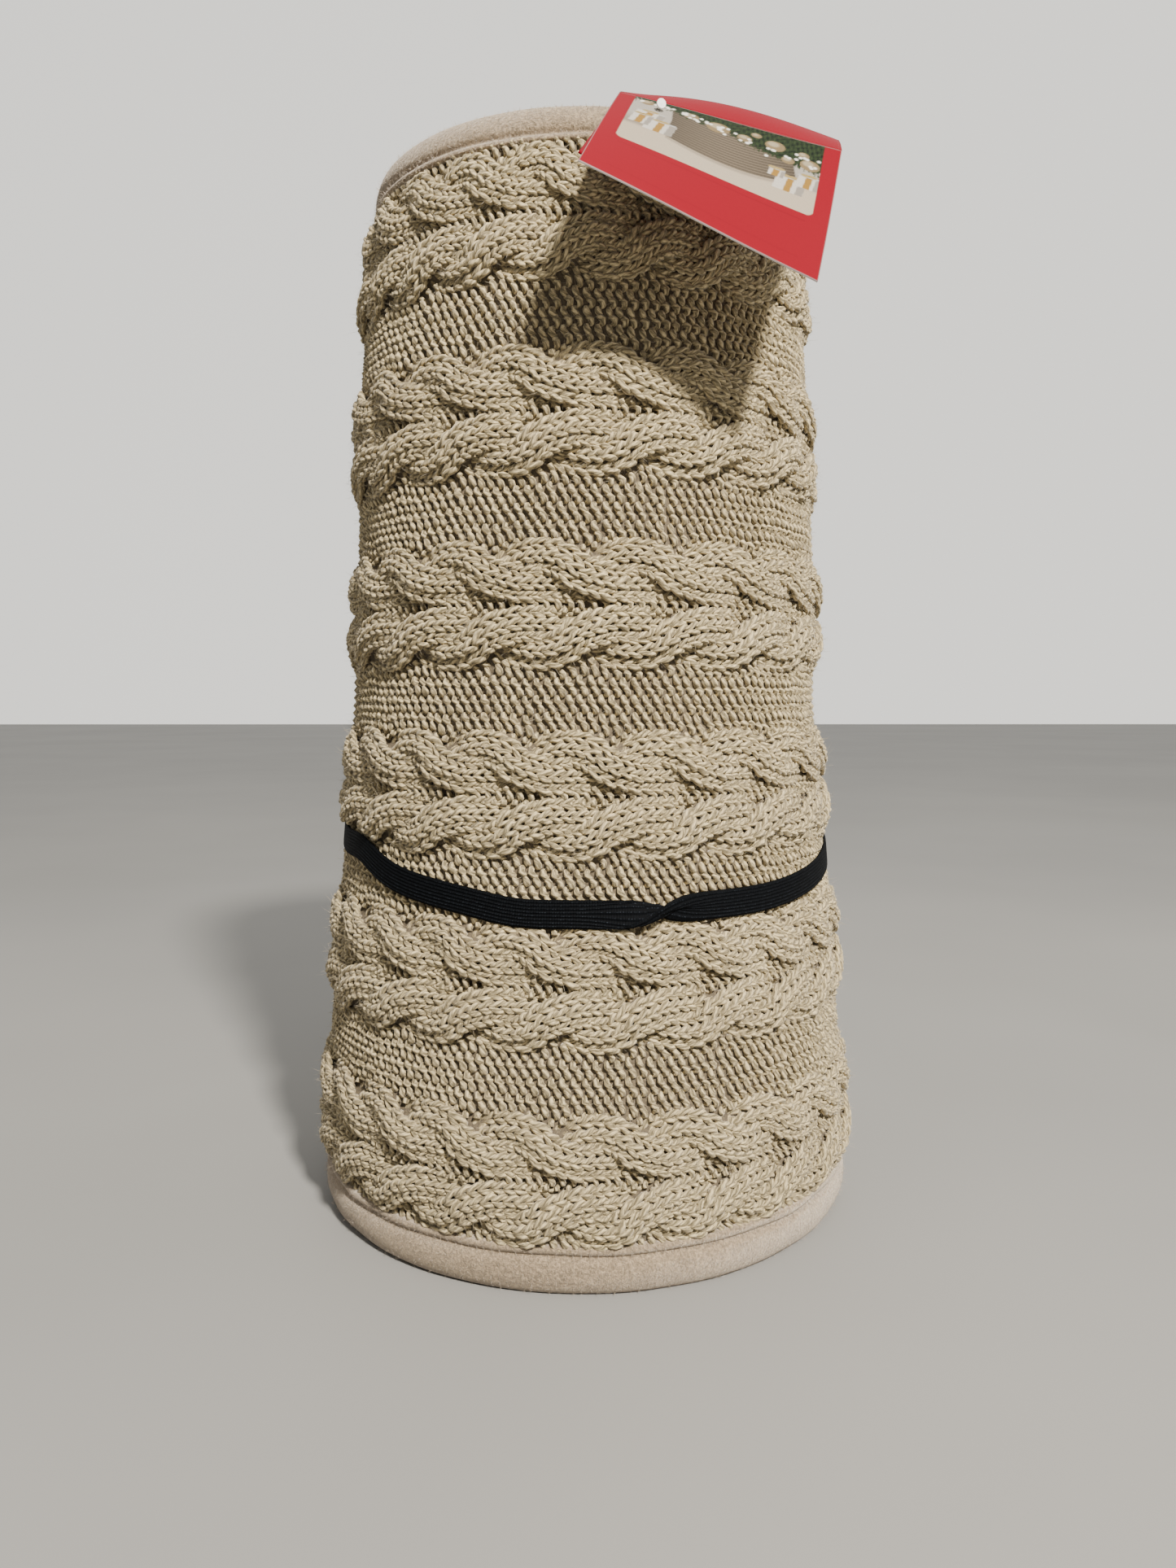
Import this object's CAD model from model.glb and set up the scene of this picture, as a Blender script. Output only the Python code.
"""Looks of the rolled, knitted tree collar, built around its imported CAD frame.

Lengths are in mm until a mesh is made. A station is an angle in degrees along the spiral from its inner end, u is the
distance round the outer turn from the front, and off or out is a distance out from a surface.
"""

import math

import bpy
import numpy as np
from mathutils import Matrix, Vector


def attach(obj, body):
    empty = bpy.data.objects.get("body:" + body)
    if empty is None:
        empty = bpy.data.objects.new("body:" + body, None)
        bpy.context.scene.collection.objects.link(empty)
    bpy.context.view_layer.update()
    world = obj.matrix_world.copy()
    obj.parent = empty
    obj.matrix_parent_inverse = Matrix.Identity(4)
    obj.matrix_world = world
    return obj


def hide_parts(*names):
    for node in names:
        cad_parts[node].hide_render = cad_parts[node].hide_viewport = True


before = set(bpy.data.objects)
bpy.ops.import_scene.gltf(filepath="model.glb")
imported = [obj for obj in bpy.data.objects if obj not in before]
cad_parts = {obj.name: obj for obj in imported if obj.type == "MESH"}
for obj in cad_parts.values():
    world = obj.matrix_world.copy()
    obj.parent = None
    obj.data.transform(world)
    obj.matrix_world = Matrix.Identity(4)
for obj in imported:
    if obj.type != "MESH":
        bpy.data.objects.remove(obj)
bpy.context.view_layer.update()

scene = bpy.context.scene
MM = 0.001
TAU = 2 * math.pi
rng = np.random.default_rng(11)

# ---- driving dimensions
HEIGHT = 267.0
TURNS = 6.5
PITCH = 7.2
OPEN_DIAMETER = 635.0  # of the opened collar's base
START_R = OPEN_DIAMETER / (2 * TURNS) - TURNS * PITCH / 2
TOTAL = 360.0 * TURNS
HALF_T = 3.05  # half the thickness of the strip
KNIT_IN = -0.65  # inner face of the knit
LINING_OUT = -1.95  # outer face of the lining
BINDING_H = 8.0
LIP_H = 1.5
FACE_LO = BINDING_H + LIP_H  # where the knit starts above the base
END_STRIP = 8.0
GROW = PITCH / TAU  # growth of the radius for each radian
FRONT = TOTAL - 180  # station that faces the camera
START_AZ = 90 - TOTAL

# outline of the roll: share of the height, share of the base radius
OUTLINE = np.array([
    (-0.1, 1), (0, 1), (0.1, 1), (0.2, 0.972), (0.3, 0.937), (0.4, 0.899), (0.5, 0.871), (0.65, 0.85),
    (0.8, 0.826), (0.9, 0.798), (0.96, 0.77), (1, 0.746), (1.1, 0.68),
])
BLUR = 60  # reach of the outline's rounding, in samples of a thousandth of the height
SHARES = np.linspace(-0.1, 1.1, 1201)
_radii = np.interp(SHARES, OUTLINE[:, 0], OUTLINE[:, 1])
_kernel = np.exp(-0.5 * (np.arange(-BLUR, BLUR + 1) / 18.0) ** 2)
OUTLINE_N = np.convolve(np.pad(_radii, BLUR, mode="edge"), _kernel / _kernel.sum(), mode="valid")


def narrowing(z):
    """Share of the base radius at height z."""
    return np.interp(np.asarray(z) / HEIGHT, SHARES, OUTLINE_N)


def smooth(x):
    """A smooth step from 0 to 1."""
    x = np.clip(x, 0, 1)
    return x * x * (3 - 2 * x)


def unit(v):
    """Vectors of length 1."""
    return v / np.linalg.norm(v, axis=-1, keepdims=True)


def mid_r(th):
    """Radius of the strip's mid surface at the base, at station th."""
    return START_R + PITCH * th / 360


def wobble(th, z, seed, size):
    """A slow random wave over the roll, about -1 to 1."""
    r = np.random.default_rng(seed)
    total = 0
    for _ in range(5):
        a, b, c = r.uniform(0.4, 1.0) * TAU / size, r.uniform(-1, 1) * TAU / size, r.uniform(0, TAU)
        total = total + np.sin(a * np.radians(th) * 65 + b * z + c)
    return total / 3


def roll_xyz(th, off, z, proud=0.0):
    """A point of the roll at station th: off from the mid surface narrows with the outline, proud doesn't."""
    r = (mid_r(th) + off) * narrowing(z) + proud
    a = np.radians(START_AZ + th)
    return np.stack([r * np.cos(a), r * np.sin(a), z + 0 * a], -1)


# ---- mesh helpers
def signed_volume(points, faces):
    """Volume of a closed mesh, negative when its faces look inwards."""
    points = np.asarray(points, float)
    total = 0.0
    for f in faces:
        for k in range(1, f.shape[1] - 1):
            total += (points[f[:, 0]] * np.cross(points[f[:, k]], points[f[:, k + 1]])).sum()
    return total / 6


def make(name, points, faces, mat, body, uv=None, yarn_uv=None, colour=None):
    """A mesh from points in mm and a list of index arrays, one array for each number of corners."""
    me = bpy.data.meshes.new(name)
    me.vertices.add(len(points))
    me.vertices.foreach_set("co", (np.asarray(points, float) * MM).astype(np.float32).ravel())
    faces = [f for f in faces if len(f)]
    loops = np.concatenate([f.ravel() for f in faces]).astype(np.int32)
    sizes = np.concatenate([np.full(len(f), f.shape[1]) for f in faces])
    starts = np.concatenate([[0], np.cumsum(sizes)[:-1]]).astype(np.int32)
    me.loops.add(len(loops))
    me.loops.foreach_set("vertex_index", loops)
    me.polygons.add(len(sizes))
    me.polygons.foreach_set("loop_start", starts)
    me.update(calc_edges=True)
    for label, data in (("OFBake", uv), ("Yarn", yarn_uv)):
        if data is not None:
            layer = me.uv_layers.new(name=label)
            layer.data.foreach_set("uv", np.asarray(data, np.float32).ravel())
    if colour is not None:
        att = me.color_attributes.new("print", "FLOAT_COLOR", "POINT")
        att.data.foreach_set("color", np.asarray(colour, np.float32).ravel())
    if signed_volume(points, faces) < 0:
        me.flip_normals()
    me.validate()
    me.polygons.foreach_set("use_smooth", np.ones(len(me.polygons), bool))
    me.materials.append(mat)
    ob = bpy.data.objects.new(name, me)
    scene.collection.objects.link(ob)
    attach(ob, body)
    return ob


def grid_faces(rows, cols, wrap):
    """Quads between rings: rows rings of cols points; wrap joins a ring's last point to its first."""
    i, j = np.meshgrid(np.arange(rows - 1), np.arange(cols if wrap else cols - 1), indexing="ij")
    k = (j + 1) % cols
    return np.stack([i * cols + j, i * cols + k, (i + 1) * cols + k, (i + 1) * cols + j], -1).reshape(-1, 4)


def tube_mesh(rings):
    """Points and faces of a solid swept through rings (n, m, 3), closed at both ends with a fan."""
    n, m = rings.shape[:2]
    pts = np.concatenate([rings.reshape(-1, 3), [rings[0].mean(0)], [rings[-1].mean(0)]])
    j = np.arange(m)
    k = (j + 1) % m
    first = np.stack([k, j, np.full(m, n * m)], -1)
    last = np.stack([(n - 1) * m + j, (n - 1) * m + k, np.full(m, n * m + 1)], -1)
    return pts, [grid_faces(n, m, True), np.concatenate([first, last])]


def rounded(points, n=3):
    """A closed Catmull-Rom curve through control points, n pieces for each span."""
    p = np.asarray(points, float)
    a, b, c, d = np.roll(p, 1, 0), p, np.roll(p, -1, 0), np.roll(p, -2, 0)
    out = []
    for t in np.arange(n) / n:
        out.append(0.5 * (2 * b + (c - a) * t + (2 * a - 5 * b + 4 * c - d) * t**2 + (3 * b - a - 3 * c + d) * t**3))
    return np.stack(out, 1).reshape(-1, 2)


# ---- materials
class Mat:
    """A material being put together from nodes."""

    def __init__(self, name, rough=0.8, **sockets):
        self.m = bpy.data.materials.new(name)
        self.m.use_nodes = True
        self.t = self.m.node_tree
        self.b = self.t.nodes["Principled BSDF"]
        self.b.inputs["Roughness"].default_value = rough
        for k, v in sockets.items():
            self.b.inputs[k.replace("_", " ")].default_value = v

    def node(self, kind, **props):
        n = self.t.nodes.new(kind)
        for k, v in props.items():
            setattr(n, k, v)
        return n

    def link(self, a, b):
        self.t.links.new(a, b)

    def coords(self, uv=None):
        if uv:
            return self.node("ShaderNodeUVMap", uv_map=uv).outputs[0]
        return self.node("ShaderNodeTexCoord").outputs["Object"]

    def noise(self, scale, detail=3, vec=None, rough=0.55):
        n = self.node("ShaderNodeTexNoise")
        n.inputs["Scale"].default_value = scale
        n.inputs["Detail"].default_value = detail
        n.inputs["Roughness"].default_value = rough
        self.link(vec or self.coords(), n.inputs["Vector"])
        return n.outputs["Fac"]

    def math(self, op, a, b=None, c=None):
        n = self.node("ShaderNodeMath", operation=op)
        for i, v in enumerate((a, b, c)):
            if v is None:
                continue
            if isinstance(v, (int, float)):
                n.inputs[i].default_value = v
            else:
                self.link(v, n.inputs[i])
        return n.outputs[0]

    def split(self, vec):
        n = self.node("ShaderNodeSeparateXYZ")
        self.link(vec, n.inputs[0])
        return n.outputs

    def ramp(self, fac, stops):
        n = self.node("ShaderNodeValToRGB")
        e = n.color_ramp.elements
        while len(e) < len(stops):
            e.new(0.5)
        for el, (pos, col) in zip(e, stops):
            el.position = pos
            el.color = (*col, 1)
        self.link(fac, n.inputs[0])
        return n.outputs[0]

    def mix(self, kind, fac, a, b):
        n = self.node("ShaderNodeMix", data_type="RGBA", blend_type=kind)
        for i, v in ((0, fac), (6, a), (7, b)):
            if isinstance(v, (int, float)):
                n.inputs[i].default_value = v
            elif isinstance(v, tuple):
                n.inputs[i].default_value = (*v, 1)
            else:
                self.link(v, n.inputs[i])
        return n.outputs[2]

    def colour(self, out):
        self.link(out, self.b.inputs["Base Color"])

    def bump(self, height, distance, strength=1.0, chain=None):
        n = self.node("ShaderNodeBump")
        n.inputs["Strength"].default_value = strength
        n.inputs["Distance"].default_value = distance
        self.link(height, n.inputs["Height"])
        if chain:
            self.link(chain, n.inputs["Normal"])
        self.link(n.outputs[0], self.b.inputs["Normal"])
        return n.outputs[0]


YARN = (0.26, 0.21, 0.12)
YARN_DARK = (0.13, 0.1, 0.06)
FLEECE = (0.3, 0.228, 0.15)
LINING = (0.28, 0.23, 0.17)
YARN_HAIR = (0.34, 0.29, 0.21)
FLEECE_HAIR = (0.38, 0.31, 0.24)
CARD_RED = (0.15, 0.0, 0.006)
PLY_TURN = 3.0  # mm of yarn in which its three plies make one turn
ELASTIC_PICK = 0.6  # mm from weft to weft
ELASTIC_RIB = 0.825  # mm from rib to rib


def shade(colour, share):
    """A colour made darker or paler, at most white."""
    return tuple(min(1, c * share) for c in colour)


def yarn_material():
    """Plied, slightly fuzzy yarn: x of the Yarn map runs along it in mm, y runs once round it."""
    m = Mat(
        "knit_yarn", 0.9,
        Sheen_Weight=0.35, Sheen_Roughness=0.45, Sheen_Tint=(0.9, 0.82, 0.68, 1), Specular_IOR_Level=0.25,
    )
    x, y, _ = m.split(m.coords("Yarn"))
    winding = m.math("SUBTRACT", m.math("MULTIPLY", y, 3.0), m.math("DIVIDE", x, PLY_TURN))
    ply = m.math("MULTIPLY_ADD", m.math("SINE", m.math("MULTIPLY", winding, TAU)), 0.5, 0.5)
    lay = m.node("ShaderNodeCombineXYZ")
    m.link(m.math("MULTIPLY", x, 0.9), lay.inputs[0])
    m.link(m.math("MULTIPLY_ADD", x, -1.6, m.math("MULTIPLY", y, 11.0)), lay.inputs[1])
    fibre = m.noise(1.0, 3, lay.outputs[0], 0.65)
    cloud = m.noise(55, 3)
    tone = m.math("ADD", m.math("MULTIPLY", fibre, 0.85), m.math("MULTIPLY", ply, 0.15))
    base = m.ramp(tone, [(0.36, shade(YARN, 0.38)), (0.5, YARN), (0.63, shade(YARN, 2.2))])
    m.colour(m.mix("MULTIPLY", 0.5, base, m.ramp(cloud, [(0.3, (0.78, 0.76, 0.74)), (0.7, (1, 1, 1))])))
    first = m.bump(ply, 0.0001, 0.7)
    m.bump(fibre, 0.00016, 0.9, first)
    return m.m


def base_material():
    """The inside of the knit, seen through the holes between stitches and on the inner turns."""
    m = Mat("knit_ground", 0.95)
    fibre = m.noise(1800, 3)
    m.colour(m.ramp(fibre, [(0.3, (0.06, 0.047, 0.033)), (0.7, YARN_DARK)]))
    m.bump(fibre, 0.0003, 0.8)
    return m.m


def fleece_material(name, colour, pile=1500):
    """Short brushed pile: fine tufts over slow blotches."""
    m = Mat(name, 0.95, Sheen_Weight=0.6, Sheen_Roughness=0.35, Sheen_Tint=(1, 0.93, 0.86, 1), Specular_IOR_Level=0.2)
    tuft = m.noise(pile, 4, rough=0.75)
    blotch = m.noise(160, 2)
    base = m.ramp(tuft, [(0.38, shade(colour, 0.62)), (0.52, colour), (0.66, shade(colour, 1.5))])
    m.colour(m.mix("MULTIPLY", 0.5, base, m.ramp(blotch, [(0.35, (0.8, 0.79, 0.78)), (0.65, (1, 1, 1))])))
    first = m.bump(blotch, 0.0008, 0.5)
    m.bump(tuft, 0.0007, 1.0, first)
    return m.m


def hair_material(name, colour):
    """Loose fibres, which differ a little in tone."""
    m = Mat(name, 0.8, Sheen_Weight=0.2)
    m.colour(m.ramp(m.noise(300, 1), [(0.3, shade(colour, 0.8)), (0.7, shade(colour, 1.25))]))
    return m.m


def elastic_material():
    """Braided navy-black elastic: x of the Yarn map runs along it, y across it, both in mm."""
    m = Mat("elastic_cord", 0.75, Specular_IOR_Level=0.06)
    x, y, _ = m.split(m.coords("Yarn"))
    pick = m.math("SINE", m.math("MULTIPLY", x, TAU / ELASTIC_PICK))
    rib = m.math("COSINE", m.math("MULTIPLY", y, TAU / ELASTIC_RIB))
    speck = m.noise(2400, 2)
    ridge = m.math("POWER", m.math("MAXIMUM", rib, 0.0), 4.0)
    stitch = m.math("MULTIPLY", ridge, m.math("MULTIPLY_ADD", pick, 0.12, 0.45))
    tone = m.math("ADD", m.math("MULTIPLY", stitch, 0.5), m.math("MULTIPLY_ADD", speck, 0.7, 0.05))
    black, navy, thread = (0.0006, 0.0008, 0.0012), (0.0018, 0.0024, 0.0036), (0.03, 0.036, 0.045)
    m.colour(m.ramp(tone, [(0.3, black), (0.62, navy), (0.85, thread)]))
    first = m.bump(m.math("MULTIPLY_ADD", pick, 0.4, rib), 0.00007, 0.8)
    m.bump(speck, 0.00005, 0.6, first)
    return m.m


def card_material(name, printed):
    """Card with a fine paper grain, printed with its mesh's own colours or plain red."""
    m = Mat(name, 0.5, Specular_IOR_Level=0.08)
    grain = m.noise(4000, 2)
    if printed:
        ink = m.node("ShaderNodeVertexColor", layer_name="print").outputs[0]
    else:
        ink = CARD_RED
    m.colour(m.mix("MULTIPLY", 0.6, ink, m.ramp(grain, [(0.3, (0.86, 0.86, 0.86)), (0.6, (1, 1, 1))])))
    m.bump(m.noise(900, 2), 0.00002, 0.4)
    return m.m


def tape_material(name, colour, pitch):
    """Hook or loop tape: rows of small tufts."""
    m = Mat(name, 0.9, Sheen_Weight=0.2)
    rows = m.node("ShaderNodeTexVoronoi")
    rows.inputs["Scale"].default_value = pitch
    m.link(m.coords(), rows.inputs["Vector"])
    tuft = rows.outputs["Distance"]
    m.colour(m.ramp(tuft, [(0.1, shade(colour, 1.2)), (0.6, shade(colour, 0.55))]))
    m.bump(tuft, 0.0004, 0.8)
    return m.m


def satin_material():
    """Woven satin label: close weft lines and a soft gloss."""
    m = Mat("label_satin", 0.5, Sheen_Weight=0.3, Sheen_Roughness=0.3)
    _, _, z = m.split(m.coords())
    weft = m.math("MULTIPLY_ADD", m.math("SINE", m.math("MULTIPLY", z, TAU / 0.0004)), 0.5, 0.5)
    slub = m.noise(700, 3)
    tone = m.math("MULTIPLY_ADD", weft, 0.3, m.math("MULTIPLY", slub, 0.7))
    m.colour(m.ramp(tone, [(0.2, (0.62, 0.61, 0.58)), (0.7, (0.82, 0.81, 0.78))]))
    m.bump(weft, 0.00006, 0.6)
    return m.m


def metal_material():
    """Nickel-plated crimp with drawn scratches and dull patches."""
    m = Mat("crimp_nickel", 0.32, Metallic=1.0)
    wear = m.noise(900, 4)
    m.colour(m.ramp(wear, [(0.3, (0.42, 0.42, 0.42)), (0.7, (0.66, 0.65, 0.62))]))
    m.link(m.math("MULTIPLY_ADD", wear, 0.3, 0.18), m.b.inputs["Roughness"])
    m.bump(m.noise(2200, 2), 0.00004, 0.5)
    return m.m


def plastic_material():
    """Milky moulded pin."""
    m = Mat("pin_nylon", 0.3, IOR=1.5, Transmission_Weight=0.35)
    m.colour(m.ramp(m.noise(600, 2), [(0.3, (0.8, 0.8, 0.78)), (0.7, (0.9, 0.9, 0.88))]))
    m.bump(m.noise(1500, 1), 0.00002, 0.3)
    return m.m


MAT_YARN = yarn_material()
MAT_GROUND = base_material()
MAT_BINDING = fleece_material("fleece_binding", FLEECE)
MAT_LINING = fleece_material("fleece_lining", LINING, 1200)
MAT_YARN_HAIR = hair_material("yarn_fibre", YARN_HAIR)
MAT_FLEECE_HAIR = hair_material("fleece_fibre", FLEECE_HAIR)
MAT_ELASTIC = elastic_material()

# ---- camera, floor and light
cam_data = bpy.data.cameras.new("camera")
cam_data.sensor_fit = "VERTICAL"
cam_data.sensor_height = 36
cam_data.lens = 25.31
cam_data.clip_start = 0.01
camera = bpy.data.objects.new("camera", cam_data)
camera.location = (0.00107, -0.3105, 0.1373)
camera.rotation_euler = (math.radians(90 - 4.93), 0, math.radians(-0.24))
scene.collection.objects.link(camera)
scene.camera = camera


def floor_material():
    """Plain pale floor."""
    m = Mat("studio_floor", 0.6, Specular_IOR_Level=0.3)
    m.colour(m.ramp(m.noise(3, 3), [(0.35, (0.2, 0.196, 0.187)), (0.65, (0.225, 0.22, 0.21))]))
    return m.m


floor_mesh = bpy.data.meshes.new("floor")
FLOOR = 4.0  # m from the middle to each side
corners = [(-FLOOR, -FLOOR, 0), (FLOOR, -FLOOR, 0), (FLOOR, FLOOR, 0), (-FLOOR, FLOOR, 0)]
floor_mesh.from_pydata(corners, [], [(0, 1, 2, 3)])
floor_mesh.materials.append(floor_material())
floor = bpy.data.objects.new("floor", floor_mesh)
scene.collection.objects.link(floor)


def area_light(name, direction, distance, size, power, colour):
    """A round light at a distance in m, aimed at the middle of the object."""
    target = Vector((0, -0.02, 0.14))
    data = bpy.data.lights.new(name, "AREA")
    data.shape = "DISK"
    data.size = size
    data.energy = power
    data.color = colour
    ob = bpy.data.objects.new(name, data)
    ob.location = target + Vector(direction).normalized() * distance
    ob.rotation_euler = (target - ob.location).to_track_quat("-Z", "Y").to_euler()
    scene.collection.objects.link(ob)


area_light("key", (0.31, -0.71, 0.63), 1.3, 0.14, 58, (1, 0.95, 0.86))
area_light("fill", (-0.8, -0.5, 0.5), 1.5, 1.4, 0.3, (0.95, 0.97, 1))
world = bpy.data.worlds.new("world")
world.use_nodes = True
scene.world = world


def backdrop_light():
    """Soft light from all round, paler behind the object and darker at its left."""
    t = world.node_tree
    sky = t.nodes["Background"]
    where = t.nodes.new("ShaderNodeTexCoord").outputs["Generated"]
    along = t.nodes.new("ShaderNodeVectorMath")
    along.operation = "DOT_PRODUCT"
    along.inputs[1].default_value = (0.2, 0.46, 0.0)
    t.links.new(where, along.inputs[0])
    shifted = t.nodes.new("ShaderNodeMath")
    shifted.operation = "ADD"
    shifted.inputs[1].default_value = 0.5
    t.links.new(along.outputs["Value"], shifted.inputs[0])
    ramp = t.nodes.new("ShaderNodeValToRGB")
    ramp.color_ramp.interpolation = "EASE"
    dark, pale = (0.4, 0.4, 0.4), (1.3, 1.27, 1.19)
    for el, (pos, col) in zip(ramp.color_ramp.elements, ((0.0, dark), (0.95, pale))):
        el.position = pos
        el.color = (*col, 1)
    t.links.new(shifted.outputs[0], ramp.inputs[0])
    t.links.new(ramp.outputs[0], sky.inputs[0])
    sky.inputs[1].default_value = 1.0


backdrop_light()

# ---- elastic band's route
BAND_W = 6.6
BAND_T = 0.9
BAND_Z = 98.6
BAND_TILT = 12.0
BAND_HIGH = 105.0
# small sags of the band: direction and width in degrees, rise
BAND_SAGS = [(-66, 14, 1.0), (-102, 8, -0.8), (-147, 10, 2.6)]
BAND_CLEAR = 0.4
BAND_ROUND = 15.4  # once round its section
BAND_LEAN = 0.087  # how far the roll's face leans in, in radians


def band_z(th):
    """Height of the band's middle at station th."""
    az = START_AZ + th
    z = BAND_Z + BAND_TILT * np.cos(np.radians(az - BAND_HIGH))
    for at, width, rise in BAND_SAGS:
        z = z + rise * np.exp(-((((az - at + 180) % 360 - 180) / width) ** 2))
    return z


# ---- stitches
WALE = 2.7  # width of a wale in the cables
ROPE = 7.2  # half the height of a rope, which has two strands of three wales
SWING = 3.15  # how far a strand moves from the middle of its rope
ROW_HALF = 2 * ROPE  # half the height of a cable row, which has two ropes
ROW_FIRST = 0.1026 * HEIGHT
ROW_STEP = 0.1608 * HEIGHT
PURL_PITCH = 2.5  # from course to course in the purl bands
PURL_WALES = 4
PURL_LIFT = -0.95  # of the reverse stitches, from the face
SPREAD = 0.76  # how far a loop's bends lie from its middle, in course pitches
# for each cable row from the bottom: length of a repeat, and where a crossing lies right of the front
CABLE_ROWS = [(19.8, -5.4), (19.6, -6.0), (20.2, 7.8), (21.0, 1.6), (20.2, -6.5), (17.4, -1.5)]
COURSES = 8  # courses in a repeat


def turn_th(u, n):
    """Station at u, at a height whose narrowing is n."""
    r0 = mid_r(FRONT) + HALF_T
    return FRONT + np.degrees((-r0 + np.sqrt(r0 * r0 + 2 * GROW * u / n)) / GROW)


def turn_u(th, n):
    """u at station th."""
    d = np.radians(th - FRONT)
    return n * ((mid_r(FRONT) + HALF_T) * d + GROW * d * d / 2)


KNIT_END = TOTAL - math.degrees(END_STRIP / mid_r(TOTAL)) - 0.1
KNIT_START = TOTAL - 360 - 4


def face_point(th, z, out):
    """A point out from the outer turn's face; relief is pressed flat under the outer end and under the band."""
    ramp = smooth((th - (TOTAL - 360)) / 16)
    out = ramp * out + (1 - ramp) * (0.25 * out - 0.5)
    dz = np.abs(z - band_z(th))
    limit = -0.3 + np.maximum(0, dz - 3.4) ** 2 / 1.2
    out = np.minimum(out, limit)
    sag = 0.35 * wobble(th, z, 5, 70)
    a = np.radians(START_AZ + th)
    r = (mid_r(th) + HALF_T) * narrowing(z) + out + sag * ramp
    return np.stack([r * np.cos(a), r * np.sin(a), z + 0 * a], -1)


def on_face(u, z, out, n):
    """The same at u."""
    return face_point(turn_th(u, n), z, out)


SEGS = 14  # points along the yarn in one stitch
SIDES = 6  # points round the yarn
T = np.linspace(-math.pi, math.pi, SEGS + 1)


def stitch_points(courses, path, lift, n, pitch, beside):
    """Centre lines of one wale of plain stitches: (stitches, points, 3).

    path and lift give the height and relief of its strand at u, and the wale runs beside it. Each stitch is a V of two
    leaning legs in front; its head and feet pass behind.
    """
    jitter = rng.normal(0, 1, (len(courses), 3))
    p = SPREAD * pitch * np.cos(T) * (1 + 0.05 * jitter[:, :1])
    q = beside + WALE * (T / TAU + 0.27 * np.sin(2 * T))
    w = -0.5 * np.cos(2 * T)
    u = courses[:, None] + p + 0.06 * jitter[:, 1:2]
    slope = (path(u + 0.2) - path(u - 0.2)) / 0.4
    size = np.sqrt(1 + slope * slope)
    return on_face(u - q * slope / size, path(u) + q / size, lift(u) + w + 0.07 * jitter[:, 2:3], n)


def reverse_points(courses, low, high, lift, n, pitch, count):
    """Centre lines of courses of reverse stitches: (courses, points, 3).

    Each is one yarn that runs up through count wales between two edges. Its bends lie in front as short slanted
    strokes, brick fashion, and its legs behind.
    """
    t = np.linspace(-math.pi, TAU * count - math.pi, SEGS * count + 1)
    jitter = rng.normal(0, 1, (len(courses), 2))
    wave = rng.normal(0, 1, (len(courses), 2 * count + 1))
    knots = np.linspace(t[0], t[-1], 2 * count + 1)
    slack = np.stack([np.interp(t, knots, row) for row in wave])
    p = SPREAD * pitch * np.cos(t) * (1 + 0.06 * slack) - 0.3 * np.sin(2 * t)
    share = ((t + math.pi) / TAU + 0.09 * np.sin(2 * t)) / count
    u = courses[:, None] + p + 0.06 * jitter[:, :1]
    z = low(u, share) + (high(u, share) - low(u, share)) * share
    return on_face(u, z, lift + np.cos(2 * t) + 0.07 * jitter[:, 1:2] + 0.05 * slack, n)


def yarn_piece(name, lines, radius, wales, leaf, turns=1):
    """Tubes along centre lines (n, points, 3), as one mesh with a bake map and a map that follows the yarn.

    leaf makes the yarn thicker (or thinner) in its legs, which come turns times along a line.
    """
    lines = np.asarray(lines)
    n, m = lines.shape[:2]
    tan = unit(np.gradient(lines, axis=1))
    side = unit(np.cross(tan, unit(lines * [1, 1, 0])))
    up = np.cross(side, tan)
    ang = np.arange(SIDES) * TAU / SIDES - math.pi / 2
    thick = radius * (1 + 0.06 * rng.standard_normal((n, 1))) * (1 + 0.04 * rng.standard_normal((n, m)))
    thick = thick * (1 + leaf * (np.sin(np.linspace(0, TAU * turns, m)) ** 2 - 0.6))
    span = np.linalg.norm(np.diff(lines, axis=1), axis=-1).sum(1)
    thick = thick * np.clip((span / np.median(span)) ** 0.6, 0.9, 1.3)[:, None]
    ring = np.cos(ang)[:, None] * side[..., None, :] + np.sin(ang)[:, None] * up[..., None, :]
    pts = (lines[:, :, None] + thick[..., None, None] * ring).reshape(-1, 3)
    per = m * SIDES
    quads = (np.arange(n)[:, None, None] * per + grid_faces(m, SIDES, True)[None]).reshape(-1, 4)
    fan = np.array([[0, k + 1, k] for k in range(1, SIDES - 1)])
    fan = np.concatenate([fan, fan[:, ::-1] + per - SIDES])
    tris = (np.arange(n)[:, None, None] * per + fan[None]).reshape(-1, 3)
    # corner maps
    i, j = np.meshgrid(np.arange(m - 1), np.arange(SIDES), indexing="ij")
    cu = np.stack([j, j + 1, j + 1, j], -1).reshape(-1, 4) / SIDES
    cv = np.stack([i, i, i + 1, i + 1], -1).reshape(-1, 4) / (m - 1)
    cols = n // wales
    col = (np.arange(n) % cols)[:, None, None]
    row = (np.arange(n) // cols)[:, None, None]
    bake = np.stack([(col + 0.05 + 0.9 * cu) / cols, (row + 0.02 + 0.96 * cv) / wales], -1).reshape(-1, 2)
    length = np.linalg.norm(np.diff(lines, axis=1), axis=-1).sum(1)[:, None, None]
    phase = rng.uniform(0, 30, (n, 1, 1))
    along = np.stack([cv * length + phase, np.broadcast_to(cu, (n, *cu.shape)) + 0 * phase], -1).reshape(-1, 2)
    middle = np.stack([(col[:, 0] + 0.5) / cols, (row[:, 0] + 0.5) / wales], -1)
    bake = np.concatenate([bake, np.repeat(middle, len(fan) * 3, axis=1).reshape(-1, 2)])
    along = np.concatenate([along, np.zeros((len(tris) * 3, 2))])
    ob = make(name, pts, [quads, tris], MAT_YARN, "roll", uv=bake, yarn_uv=along)
    return ob


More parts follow.
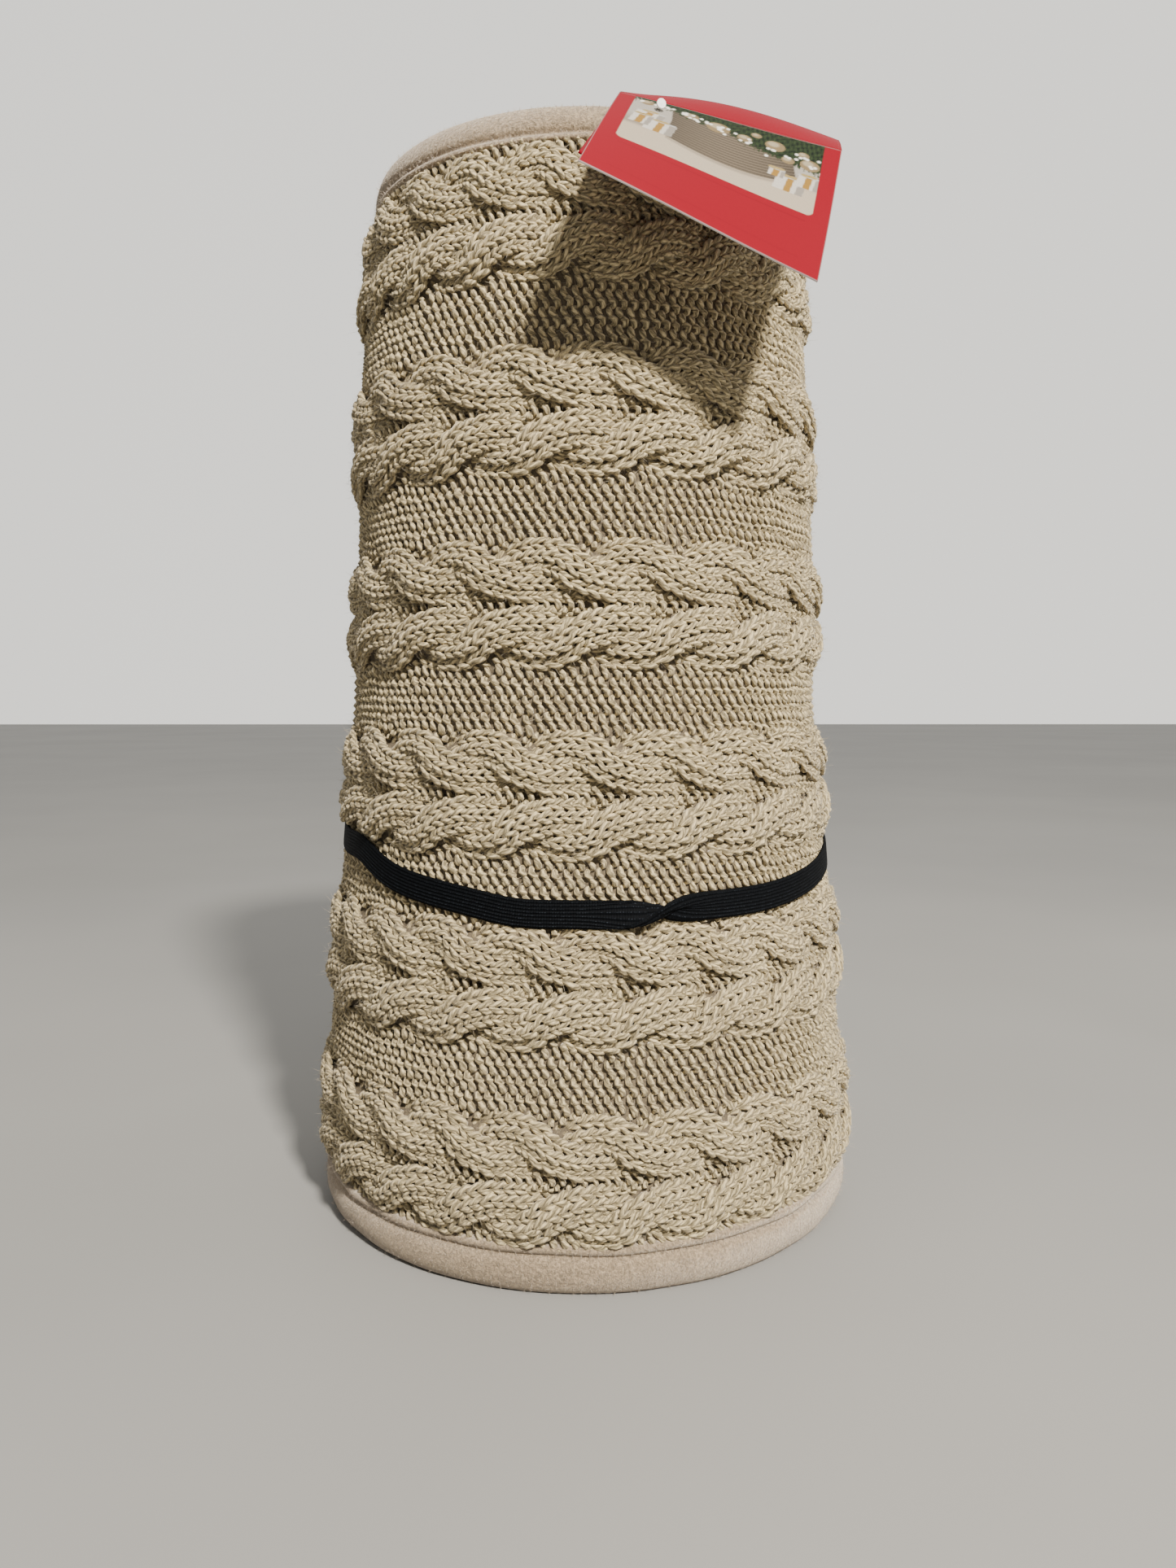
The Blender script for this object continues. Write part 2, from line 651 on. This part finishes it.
def course_places(z, pitch, phase):
    """Places of the courses round the outer turn at height z, in step with phase."""
    n = float(narrowing(z))
    lo, hi = turn_u(KNIT_START, n) + 2, turn_u(KNIT_END, n) - 2
    return np.arange(math.ceil((lo - phase) / pitch), math.floor((hi - phase) / pitch) + 1) * pitch + phase, n


def strand(u, repeat, cross, which):
    """Height share (-1 to 1, +1 on the outer side) and lift share (+1 in front) of a rope's strand at u.

    One crossing in each repeat: the front strand slants inwards over a long stretch, the back one turns up quickly.
    """
    p = np.mod((u - cross) / repeat + 0.5 + which, 2)
    front = p < 1
    x = np.where(front, p, p - 1) - 0.5
    yf = 1 - 2 * smooth(x / 0.66 + 0.5)
    yb = -1 + 2 * smooth(x / 0.4 + 0.5)
    lf = np.clip(np.cos(math.pi * x / 0.98), 0, 1) ** 0.8
    lb = -np.clip(np.cos(math.pi * x / 0.8), 0, 1)
    return np.where(front, yf, yb), np.where(front, lf, lb)


def scallop(u, k):
    """How far the edge of cable row k draws back at u, 0 to 1: it is most at a crossing."""
    if not 0 <= k < len(CABLE_ROWS):
        return 0 * u
    repeat, cross = CABLE_ROWS[k]
    return np.clip(np.cos(TAU * (u - cross) / repeat), 0, 1) ** 2


yarn_pieces = []
LAST_ROW = len(CABLE_ROWS) - 1


def rope_path(k, sign, which, u):
    """Height, lift and height share of a strand of cable row k at u."""
    repeat, cross = CABLE_ROWS[k]
    y, f = strand(u, repeat, cross, which)
    size = 1.1 if (k, sign) in ((0, -1), (LAST_ROW, 1)) else 0.98
    draw = 0.9 * scallop(u, k) + 0.9 * (1 + np.cos(TAU * (u - cross) / repeat))
    z = ROW_FIRST + ROW_STEP * k + sign * size * (ROPE + y * SWING - (0.5 + 0.5 * y) * draw + 0.5)
    return z, 0.95 + 1.4 * np.where(f > 0, f, 1.1 * f), y


def cable_row(k):
    """Cable row k: two ropes of two strands of three wales, and the ladder of reverse stitches between the ropes."""
    repeat, cross = CABLE_ROWS[k]
    pitch = repeat / COURSES
    zc = ROW_FIRST + ROW_STEP * k
    places, n = course_places(zc, pitch, cross)
    for rope, sign in (("upper", 1), ("lower", -1)):
        lines = []
        for which in (0, 1):

            def path(u):
                return rope_path(k, sign, which, u)[0]

            for i in (-1, 0, 1):

                def lift(u):
                    _, f, y = rope_path(k, sign, which, u)
                    return f - 0.6 * abs(i) - 0.55 * smooth((y - 0.2) / 0.8) * (sign * i > 0)

                lines.append(stitch_points(places, path, lift, n, pitch, i * WALE))
        yarn_pieces.append(yarn_piece(f"cable_{k + 1}_{rope}", np.concatenate(lines), 0.62, 6, 0.35))
    between = reverse_points(places, lambda u, s: zc - 2.1 + 0 * u, lambda u, s: zc + 2.1 + 0 * u, -0.1, n, pitch, 1)
    yarn_pieces.append(yarn_piece(f"ladder_{k + 1}", between, 0.6, 1, -0.3))


def relief(th, z):
    """Height of the stitches' own ground over the outer turn."""
    high = -0.25 + 0 * th * z
    for k in range(len(CABLE_ROWS)):
        u = turn_u(th, float(narrowing(ROW_FIRST + ROW_STEP * k)))
        for sign in (1, -1):
            for which in (0, 1):
                zs, f, _ = rope_path(k, sign, which, u)
                dz = np.abs(z - zs)
                high = np.where(dz < 3.9, np.maximum(high, f - 0.6 * dz / WALE), high)
    return high


def purl_band(k):
    """The reverse stitches below cable row k; the first and last bands are single wales at the bound edges."""
    top = ROW_FIRST + ROW_STEP * k - ROW_HALF if k <= LAST_ROW else HEIGHT - FACE_LO + 1.0
    bottom = ROW_FIRST + ROW_STEP * (k - 1) + ROW_HALF if k else FACE_LO
    count = PURL_WALES if 0 < k <= LAST_ROW else 1
    places, n = course_places((top + bottom) / 2, PURL_PITCH, 0.7 * k)

    def low(u, s):
        return bottom - (0.7 if k else -1.2) - 1.9 * scallop(u, k - 1) * (1 - s) ** 3

    def high(u, s):
        return top + 0.7 + 1.9 * scallop(u, k) * s**3

    lines = reverse_points(places, low, high, PURL_LIFT, n, PURL_PITCH, count)
    yarn_pieces.append(yarn_piece(f"purl_{k + 1}", lines, 0.54, 1, -0.8, count))


for row in range(LAST_ROW + 1):
    cable_row(row)
for row in range(LAST_ROW + 2):
    purl_band(row)


# ---- sheets of the strip
def strip_sheet(name, inner, outer, lo, hi, mat, step=4.0, levels=44, drop=None):
    """A layer of the strip over all turns, from off inner to outer and from lo to hi; drop(th) draws its face in."""
    ths = np.linspace(math.degrees(END_STRIP / START_R), KNIT_END, int(TOTAL / step))
    zs = np.linspace(lo, hi, levels)
    sink = drop(ths)[:, None] if drop else 0
    front = roll_xyz(ths[:, None], outer + sink, zs[None, :])
    back = roll_xyz(ths[:, None], inner + 0 * ths[:, None], zs[None, ::-1])
    rings = np.concatenate([front, back], 1)
    pts, faces = tube_mesh(rings)
    return make(name, pts, faces, mat, "roll")


def under_stitches(th):
    """The plain cloth sinks where the modelled stitches of the outer turn begin."""
    return -1.9 * smooth((th - (TOTAL - 372)) / 8)


knit_sheet = strip_sheet(
    "knit_sheet", KNIT_IN, HALF_T, FACE_LO + 0.05, HEIGHT - FACE_LO + 1.2, MAT_GROUND, drop=under_stitches
)
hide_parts("knit_panel")


def knit_backing():
    """The close ground under the stitches of the outer turn, which follows their relief."""
    ths = np.linspace(KNIT_START + 1, KNIT_END, 268)[:, None]
    zs = np.linspace(FACE_LO + 0.5, HEIGHT - FACE_LO + 1.0, 166)[None, :]
    front = face_point(ths, zs, relief(ths, zs) - 0.5)
    back = face_point(ths, zs[:, ::-1], -2.3 + 0 * ths)
    pts, faces = tube_mesh(np.concatenate([front, back], 1))
    ob = make("knit_backing", pts, faces, MAT_GROUND, "roll")
    return ob


backing = knit_backing()
lining = strip_sheet("lining", -HALF_T, LINING_OUT, BINDING_H + 0.05, HEIGHT - BINDING_H - 0.05, MAT_LINING)
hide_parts("fleece_lining")

# ---- bound edges
EDGE = [
    # (share of the bulge, offset, height): inner leg, turn, outer leg, crease, lip
    (-0.3, -HALF_T, 6.6), (-0.35, -HALF_T, 3.6), (-0.1, -HALF_T, 1.4), (0, -1.9, 0.3), (0, -0.6, 0.0), (0, 0.9, 0.0),
    (0, 2.2, 0.35), (0.45, 2.9, 1.6), (1.0, 3.0, 3.4), (1.1, 3.05, 5.2), (0.8, 3.05, 6.8), (0.05, 3.0, 8.0),
    (0.45, 3.05, 8.5), (0.75, 3.05, 9.15), (0.5, 3.05, 9.85), (-0.3, 2.9, 10.2), (0, 1.2, 10.0),
    (0, -1.0, 8.4), (0, -2.6, 8.0),
]


EDGE_TALL = {True: 0.84, False: 1.19}  # height of the top and bottom edges' section, from the shape above


def bound_edge(name, top, nodes):
    """The fleece strip folded over the top or bottom edge, with the lip where it meets the knit."""
    first = math.degrees(END_STRIP / START_R)
    fine = TOTAL - 370
    ths = np.concatenate([np.arange(first, fine, 4.0), np.arange(fine, KNIT_END, 1.5), [KNIT_END]])
    outer_turn = smooth((ths - (TOTAL - 352)) / 20)
    bulge = 0.35 + 0.95 * outer_turn
    swell = rounded([(s, 0) for s, _, _ in EDGE])[:, 0]
    plan = rounded([(o, z) for _, o, z in EDGE])
    off = plan[None, :, 0] + bulge[:, None] * swell[None, :]
    z = np.maximum(plan[None, :, 1] + 0 * off, 0) * EDGE_TALL[top]
    z = z + 0.16 * wobble(ths[:, None], z, 21 + top, 22) * smooth(z / 3)
    off = off + 0.12 * outer_turn[:, None] * wobble(ths[:, None], z, 31 + top, 15) * (off > 0)
    if top:
        z = HEIGHT - z
    rings = roll_xyz(ths[:, None] + 0 * z, off, z)
    if not top:
        rings = rings[:, ::-1]
    pts, faces = tube_mesh(rings[:, ::-1])
    ob = make(name, pts, faces, MAT_BINDING, "roll")
    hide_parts(*nodes)
    return ob


bottom_edge = bound_edge("bottom_edge", False, ["bottom_binding", "bottom_seam_lip"])
top_edge = bound_edge("top_edge", True, ["top_binding", "top_seam_lip"])


def end_strip(name, at, outward, node, bulge):
    """The padded strip on a short end: at is the free end's station, outward +1 where the strip ends there."""
    tip = np.array([0, 0.5, 1.4, 3])
    zs = np.concatenate([tip, np.linspace(6, HEIGHT - 6, 84), HEIGHT - tip[::-1]])
    grow = 1 - 0.32 * np.exp(-np.minimum(zs, HEIGHT - zs) / 0.7)
    plan = rounded([
        (0.1, -1.6), (0.0, 0.4), (0.5, 2.3), (2.0, HALF_T + bulge * 0.8), (4.4, HALF_T + bulge),
        (6.6, HALF_T + bulge * 0.7), (7.85, HALF_T - 0.2), (8.0, 0), (7.9, -HALF_T + 0.1), (4, -HALF_T),
        (1.4, -HALF_T + 0.1),
    ])
    mid = np.array([4.0, 0.0])
    sect = mid + (plan - mid)[None] * grow[:, None, None]
    z2 = zs[:, None] + 0 * sect[..., 0]
    sect[..., 1] += 0.15 * np.sin(z2 / 9 + sect[..., 0] / 5) * (sect[..., 1] > 1)
    th = at - outward * np.degrees(sect[..., 0] / mid_r(at))
    rings = roll_xyz(th, sect[..., 1], z2)
    if outward > 0:
        rings = rings[:, ::-1]
    pts, faces = tube_mesh(rings)
    ob = make(name, pts, faces, MAT_BINDING, "roll")
    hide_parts(node)
    return ob


outer_end = end_strip("outer_end", TOTAL, 1, "outer_end_binding", 0.9)
end_strip("inner_end", 0, -1, "inner_end_binding", 0.25)


# ---- loose fibres
FIBRES = 19000  # in one piece
YARN_FIBRES = (0.9, 1.3, 1.8, 2.3)  # length in each piece


def fibres(name, sources, length, radius, mat, seed, zone):
    """Short curved slivers that stand out of the surface of other pieces."""
    r = np.random.default_rng(seed)
    pos, nor = [], []
    for ob in sources:
        me = ob.data
        p = np.zeros(len(me.vertices) * 3, np.float32)
        q = np.zeros(len(me.vertices) * 3, np.float32)
        me.vertices.foreach_get("co", p)
        me.vertex_normals.foreach_get("vector", q)
        pos.append(p.reshape(-1, 3) / MM)
        nor.append(q.reshape(-1, 3))
    pos, nor = np.concatenate(pos), np.concatenate(nor)
    out = pos * [1, 1, 0]
    out /= np.linalg.norm(out, axis=1, keepdims=True) + 1e-9
    keep = zone(pos, (nor * out).sum(1))
    keep &= np.abs(pos[:, 2] - band_z(np.degrees(np.arctan2(pos[:, 1], pos[:, 0])) - START_AZ)) > 5.5
    pos, nor = pos[keep], nor[keep]
    pick = r.integers(0, len(pos), FIBRES)
    pos, nor = pos[pick], nor[pick]
    way = unit(nor * 0.7 + 0.75 * r.standard_normal((FIBRES, 3))) + nor * 0.35
    bend = r.standard_normal((FIBRES, 3)) * 0.45
    size = length * r.uniform(0.4, 1.3, (FIBRES, 1))
    a = pos - way * 0.15
    b = pos + way * size * 0.5 + bend * size * 0.15
    c = pos + way * size + bend * size * 0.6
    side = unit(np.cross(way, [0.3, 0.2, 1.0]))
    up = np.cross(way, side)
    tri = np.array([0, TAU / 3, 2 * TAU / 3])
    ring = np.cos(tri)[:, None] * side[:, None] + np.sin(tri)[:, None] * up[:, None]
    pts = np.concatenate([a[:, None] + radius * ring, b[:, None] + 0.8 * radius * ring, c[:, None]], 1)
    quads = np.array([[0, 1, 4, 3], [1, 2, 5, 4], [2, 0, 3, 5]])
    tris = np.array([[3, 4, 6], [4, 5, 6], [5, 3, 6], [0, 2, 1]])
    pts[..., 2] = np.maximum(pts[..., 2], 0.02)
    base = np.arange(FIBRES)[:, None, None] * pts.shape[1]
    faces = [(base + quads).reshape(-1, 4), (base + tris).reshape(-1, 3)]
    ob = make(name, pts.reshape(-1, 3), faces, mat, "roll")
    return ob


def yarn_front(pos, facing):
    return facing > 0.35


def outer_fleece(pos, facing):
    return (facing > 0.0) & (np.linalg.norm(pos[:, :2], axis=1) > 50)


knit_fibres = [
    fibres(f"knit_fibres_{i + 1}", yarn_pieces, length, 0.024, MAT_YARN_HAIR, 3 + i, yarn_front)
    for i, length in enumerate(YARN_FIBRES)
]
fibres("edge_fibres", [bottom_edge, top_edge, outer_end], 0.8, 0.028, MAT_FLEECE_HAIR, 8, outer_fleece)

# ---- label, sewn to the lining in the core
LABEL_FROM, LABEL_TO = 75, 135  # stations of its two sides
LABEL_H = 31.8


def label():
    """A blank textile label, sewn in under the lining's edge, with a curled free end."""
    ths = np.linspace(LABEL_FROM, LABEL_TO, 25)
    zs = np.linspace(FACE_LO + 0.2, FACE_LO + 0.2 + LABEL_H, 18)
    curl = 0.5 * smooth((zs[None, :] - FACE_LO - 18) / 14) + 0.1 * np.sin(ths[:, None] / 9)
    front = roll_xyz(ths[:, None], -HALF_T - 0.1 + 0 * curl, zs[None, :], -curl)
    back = roll_xyz(ths[:, None], -HALF_T - 0.25 + 0 * curl, zs[None, ::-1], -curl[:, ::-1])
    pts, faces = tube_mesh(np.concatenate([front, back], 1))
    ob = make("care_tag", pts, faces, satin_material(), "roll")
    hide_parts("care_label")


label()

# ---- elastic band
def elastic():
    """Closed loop: it follows the face, runs straight past the step at the outer end, and turns over in front."""
    ths = np.arange(TOTAL, TOTAL - 330 - 0.01, -2.5)
    z = band_z(ths)
    a = np.radians(START_AZ + ths)
    r = (mid_r(ths) + HALF_T) * narrowing(z) + BAND_CLEAR + BAND_T / 2
    arc = np.stack([r * np.cos(a), r * np.sin(a), z], -1)
    line = arc[-1] + (arc[0] - arc[-1]) * np.linspace(0, 1, 16)[1:-1, None]
    path = np.concatenate([arc, line])
    n = len(path)
    tan = unit(np.roll(path, -1, 0) - np.roll(path, 1, 0))
    radial = unit(path * [1, 1, 0])
    lean = radial * math.cos(BAND_LEAN) + np.array([0, 0, math.sin(BAND_LEAN)])
    across = unit(np.cross(lean, tan))
    across *= np.sign(across[:, 2:3])
    out = np.cross(tan, across)
    out *= np.sign((out * radial).sum(1))[:, None]
    run = np.concatenate([[0], np.cumsum(np.linalg.norm(np.diff(path, axis=0), axis=1))])
    x = path[:, 0]
    front = (path[:, 1] < 0).astype(float)
    turn = front * smooth((x - 3.0) / 26.0)
    phi = math.pi * turn
    roll = front * np.exp(-(((x - 16.0) / 9.0) ** 2))
    # section: ribs on both faces
    m = 33
    y = np.linspace(-1, 1, m)
    rib = 0.15 * np.abs(np.sin((y + 1) * math.pi * 4)) - 0.08
    half = np.maximum(BAND_T / 2 - 0.03 + rib, 0.12) * np.sqrt(np.clip(1 - np.abs(y) ** 14, 0.03, 1))
    sect = np.concatenate([np.stack([y, half], -1), np.stack([y, -half], -1)[::-1][1:-1]])
    q = sect[:, 0] * BAND_W / 2
    w = sect[:, 1]
    c, s = np.cos(phi)[:, None], np.sin(phi)[:, None]
    b = roll[:, None]
    v = q * c - w * s + b * 1.8 * np.sin(math.pi * sect[:, 0])
    o = -0.34 * q * s + w * c + 1.3 * s + 0.15 * b
    rings = path[:, None] + v[..., None] * across[:, None] + o[..., None] * out[:, None]
    k = len(sect)
    faces = grid_faces(n + 1, k, True) % (n * k)
    length = run[-1] + np.linalg.norm(path[0] - path[-1])
    i, j = np.meshgrid(np.arange(n), np.arange(k), indexing="ij")
    along = np.append(run, length)
    steps = np.diff(np.stack([q, w], -1), axis=0, prepend=[[q[0], w[0]]])
    girth = np.append(np.cumsum(np.linalg.norm(steps, axis=1)), BAND_ROUND)
    uvx = np.stack([along[i], along[i], along[i + 1], along[i + 1]], -1)
    uvy = np.stack([girth[j], girth[j + 1], girth[j + 1], girth[j]], -1)
    bake = np.stack([uvx / length, uvy / (BAND_ROUND + 0.6)], -1).reshape(-1, 2)
    weave = np.stack([uvx, uvy], -1).reshape(-1, 2)
    ob = make("band", rings.reshape(-1, 3), [faces], MAT_ELASTIC, "band", uv=bake, yarn_uv=weave)
    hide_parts("elastic_band")


elastic()

# ---- card tag
CARD_W, CARD_H, CARD_T = 51.6, 43.3, 0.36
CARD_BARE = [0.75, 0.74, 0.72, 1]  # the unprinted inner face
TL, TR = np.array([9.0, -57.1, 267.3]), np.array([57.7, -58.2, 254.6])
BR, BL = np.array([48.2, -81.0, 218.9]), np.array([0.1, -89.1, 238.5])
RL, RR = TL + [1.4, 9.0, 4.3], TR + [1.0, 8.0, 6.0]  # the rear fold
BACK_LOW = np.array([0.0, 4.5, 3.6])  # how far the back panel's lower edge lies behind the front one's
FOLD_LIFT = 2.4  # rise of the rear fold over the rim, which keeps it clear when the tag swings


def patch(a, b, c, d, s, t):
    """Point of the twisted sheet with corners a, b along s at t = 0 and d, c at t = 1."""
    s, t = s[..., None], t[..., None]
    return (a * (1 - s) + b * s) * (1 - t) + (d * (1 - s) + c * s) * t


def card(name, node, corners, across, down, mat, body, bow, colour=None, hole=None, lift=0.0):
    """A thin card over a twisted sheet of across by down cells, with its two faces joined round the edge.

    bow is its swell, lift raises its first edge in the middle, and hole is a row, a column and half a width in cells.
    """
    a, b, c, d = corners
    s, t = np.meshgrid(np.linspace(0, 1, across + 1), np.linspace(0, 1, down + 1), indexing="xy")
    mid = patch(a, b, c, d, s, t) + (lift * np.sin(math.pi * s) * (1 - t))[..., None] * [0, 0, 1]
    du, dv = np.gradient(mid, axis=1), np.gradient(mid, axis=0)
    nor = unit(np.cross(dv, du))
    mid = mid + nor * (bow * np.sin(math.pi * t) + 0.25 * bow * np.sin(TAU * s))[..., None]
    top = (mid + nor * CARD_T / 2).reshape(-1, 3)
    low = (mid - nor * CARD_T / 2).reshape(-1, 3)
    n = len(top)
    quads = grid_faces(down + 1, across + 1, False)
    used = np.ones(len(quads), bool)
    extra_pts, extra_faces = [], []
    if hole is not None:
        hi, hj, size = hole
        cell_i, cell_j = np.divmod(np.arange(len(quads)), across)
        used = ~((abs(cell_i + 0.5 - hi) < size) & (abs(cell_j + 0.5 - hj) < size))
        ring = [(hi - size, hj + v) for v in range(-size, size)] + [(hi + v, hj + size) for v in range(-size, size)]
        ring += [(hi + size, hj - v) for v in range(-size, size)] + [(hi - v, hj - size) for v in range(-size, size)]
        outer = np.array([i * (across + 1) + j for i, j in ring])
        ang = np.array([math.atan2(i - hi, j - hj) for i, j in ring])
        centre = mid[hi, hj]
        ex, ey = unit(du[hi, hj]), unit(dv[hi, hj])
        rim = centre + 0.85 * (np.cos(ang)[:, None] * ex + np.sin(ang)[:, None] * ey)
        m = len(ring)
        extra_pts = [rim + nor[hi, hj] * CARD_T / 2, rim - nor[hi, hj] * CARD_T / 2]
        j, k = np.arange(m), (np.arange(m) + 1) % m
        extra_faces = [
            np.stack([2 * n + j, 2 * n + k, outer[k], outer[j]], -1),
            np.stack([2 * n + m + k, 2 * n + m + j, n + outer[j], n + outer[k]], -1),
            np.stack([2 * n + m + j, 2 * n + m + k, 2 * n + k, 2 * n + j], -1),
        ]
    quads = quads[used]
    edge = np.concatenate([
        np.arange(across), np.arange(down) * (across + 1) + across,
        down * (across + 1) + np.arange(across, 0, -1), np.arange(down, 0, -1) * (across + 1),
    ])
    nxt = np.roll(edge, -1)
    sides = np.stack([edge, nxt, nxt + n, edge + n], -1)
    faces = np.concatenate([quads[:, ::-1], quads + n, sides, *extra_faces])
    pts = np.concatenate([top, low, *extra_pts])
    col = None
    if colour is not None:
        col = np.concatenate([colour(s * CARD_W, t * CARD_H).reshape(-1, 4), np.broadcast_to(CARD_BARE, (n, 4))])
    ob = make(name, pts, [faces], mat, body, colour=col)
    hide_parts(node)


def blot(x, y, cx, cy, rx, ry, soft=0.15):
    """Coverage of an ellipse."""
    d = np.hypot((x - cx) / rx, (y - cy) / ry)
    return np.clip((1 - d) * min(rx, ry) / soft + 0.5, 0, 1)


def box_cover(x, y, cx, cy, hw, hh, lean=0.0, soft=0.15):
    """Coverage of a sheared rectangle."""
    dx, dy = np.abs(x - cx - lean * (y - cy)) - hw, np.abs(y - cy) - hh
    return np.clip(0.5 - np.maximum(dx, dy) / soft, 0, 1)


INK = 0.3  # strength of the whole print under the studio light
PRINT_RED = np.array([0.5, 0.0, 0.02])
# the picture, in mm on the card: boxes with their middle, half width and half height, and baubles with their radius
BOXES = [
    (8.6, 9.5, 3.2, 1.8), (11.6, 14.2, 3.2, 2.8), (7.2, 12.6, 2.2, 2.6),
    (41.6, 18.2, 3.4, 2.6), (45.6, 15.4, 2.6, 2.2), (38.3, 15.4, 1.8, 1.4),
]
BAUBLES = [
    (6.9, 2.4, 1.6), (17.2, 3.3, 1.7), (23.6, 5.0, 2.7), (29.8, 5.9, 1.7), (36.8, 5.3, 2.3),
    (40.2, 9.4, 1.5), (45.2, 9.0, 2.3), (43.4, 5.8, 1.3), (32.2, 3.2, 1.2),
]


def print_front(x, y):
    """The card's front: red, with a generic picture of boxes and a plain woven collar under a lit bough."""
    r = np.random.default_rng(8)
    img = np.broadcast_to(PRINT_RED, (*x.shape, 3)).copy()

    def lay(cover, colour):
        """Lay a colour over the picture."""
        img[:] = img * (1 - cover[..., None]) + np.asarray(colour) * cover[..., None]

    def waves(scale, seed):
        """Random waves of about this size in mm."""
        q = np.random.default_rng(seed)
        total = 0
        for _ in range(7):
            a, b, c = q.normal(0, 1, 3) * [1 / scale, 1 / scale, 3]
            total = total + np.sin(a * x * TAU + b * y * TAU + c)
        return total / 4

    picture = img.copy()
    img[:] = [0.5, 0.42, 0.33]
    lay(smooth((15 - y + 0.05 * x) / 5), [0.72, 0.66, 0.57])
    floor = smooth((y - 15.5 - 0.02 * x) / 2)
    lay(floor, [0.9, 0.75, 0.56])
    # woven collar: wide bowl shape with rows that sag
    cx = 27.5
    edge = 13.5 - 0.11 * (y - 4) + 2.2 * smooth((y - 8) / 10)
    sag = 3.2 * (1 - ((x - cx) / 15) ** 2)
    body = np.clip((edge + 1.2 - np.abs(x - cx)) / 0.25, 0, 1) * np.clip((16.8 + sag - y) / 0.25, 0, 1) * (y > 3)
    rows = 0.5 + 0.5 * np.cos(TAU * (y - sag * 0.9) / 1.05)
    weave = 0.5 + 0.5 * np.cos(TAU * (x + 0.4 * np.floor((y - sag * 0.9) / 1.05)) / 0.8)
    side = 1 - 0.35 * np.abs((x - cx) / 15) ** 2
    cloth = (0.15 + 0.2 * rows * (0.6 + 0.4 * weave)) * side
    lay(body, np.stack([cloth * 1.05, cloth * 0.82, cloth * 0.58], -1))
    lay(np.clip(1 - np.abs(y - 17.2 - sag) / 0.9, 0, 1) * (np.abs(x - cx) < 14) * 0.6, [0.3, 0.24, 0.18])
    # boxes with ribbons
    for bx, by, w, h in BOXES:
        lay(box_cover(x, y, bx, by, w, h, -0.12), [1.1, 1.02, 0.9])
        lay(box_cover(x, y, bx + w * 0.75, by, w * 0.25, h, -0.12), [0.55, 0.49, 0.42])
        lay(box_cover(x, y, bx - 0.2, by, 0.75, h, -0.12), [0.6, 0.33, 0.06])
        lay(box_cover(x, y, bx, by - h, w, 0.3, 0), [0.86, 0.83, 0.78])
        bow = blot(x, y, bx - 1.0, by - h - 0.3, 1.0, 0.5) + blot(x, y, bx + 0.7, by - h - 0.4, 1.0, 0.5)
        lay(bow, [0.68, 0.5, 0.2])
    # bough: dark needles that hang further towards the right
    low = 3.0 + 8.4 * smooth((x - 6) / 38) + 1.5 * waves(9, 2)
    needles = waves(1.1, 3) + 0.8 * waves(0.7, 4)
    bough = np.clip((low + 1.2 * needles - y) / 0.8, 0, 1)
    tone = np.clip(0.5 + 0.45 * needles, 0, 1)
    lay(bough, np.stack([0.004 + 0.05 * tone, 0.012 + 0.075 * tone, 0.005 + 0.025 * tone], -1))
    for bx, by, s in BAUBLES:
        lay(blot(x, y, bx, by, s, s * 0.86), [0.42, 0.3, 0.15])
        lay(blot(x, y, bx - 0.2 * s, by - 0.25 * s, s * 0.55, s * 0.42, 0.5) * 0.7, [0.85, 0.74, 0.5])
    for _ in range(54):
        px = r.uniform(5, 47.5)
        py = r.uniform(0.4, 1.0) ** 0.7 * (3.0 + 8.0 * float(smooth((px - 8) / 34)))
        lay(blot(x, y, px, py, 0.42, 0.42, 0.25), [1.6, 1.55, 1.4])
    corner = np.hypot(np.maximum(np.abs(x - CARD_W / 2) - 20.4, 0), np.maximum(y - 24.3, 0))
    inside = np.clip(0.5 - (corner - 1.5) / 0.15, 0, 1)
    img[:] = picture * (1 - inside[..., None]) + img * inside[..., None]
    for line, lo_x, hi_x in ((28.0, 5, 46.5), (39.4, 5, 46.5)):
        lay(np.clip(1 - np.abs(y - line) / 0.16, 0, 1) * (x > lo_x) * (x < hi_x) * 0.55, [0.22, 0.0, 0.01])
    rim = np.minimum(np.minimum(x, CARD_W - x), CARD_H - y)
    lay(np.clip(1 - rim / 0.22, 0, 1) * 0.75, [0.8, 0.62, 0.6])
    lay(np.clip(1 - y / 0.25, 0, 1) * 0.5, [0.85, 0.75, 0.72])
    return np.concatenate([img * INK, np.ones((*x.shape, 1))], -1)


MAT_CARD = card_material("card_printed", True)
MAT_CARD_RED = card_material("card_red", False)
card("tag_front", "tag_front_panel", (TL, TR, BR, BL), 206, 172, MAT_CARD, "tag_flap", 0.5, print_front)
card("tag_fold", "tag_spine", (RL, RR, TR, TL), 52, 10, MAT_CARD_RED, "tag", 0.25, None, None, FOLD_LIFT)
back_corners = (RL, RR, BR + BACK_LOW, BL + BACK_LOW)
card("tag_back", "tag_back_panel", back_corners, 52, 42, MAT_CARD_RED, "tag", 0.2, None, (10, 9, 1), FOLD_LIFT)


# ---- CAD nodes that stay
def dress(node, mat):
    """Give a CAD node its material."""
    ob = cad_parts[node]
    if not ob.data.materials:
        ob.data.materials.append(mat)
    for i in range(len(ob.data.materials)):
        ob.data.materials[i] = mat


dress("stiffener_sheet", tape_material("stiffener_felt", (0.7, 0.68, 0.62), 900))
dress("hook_tapes", tape_material("hook_tape", (0.27, 0.22, 0.18), 1100))
dress("loop_tapes", tape_material("loop_tape", (0.33, 0.28, 0.22), 700))
dress("band_crimp", metal_material())
dress("tag_pin", plastic_material())
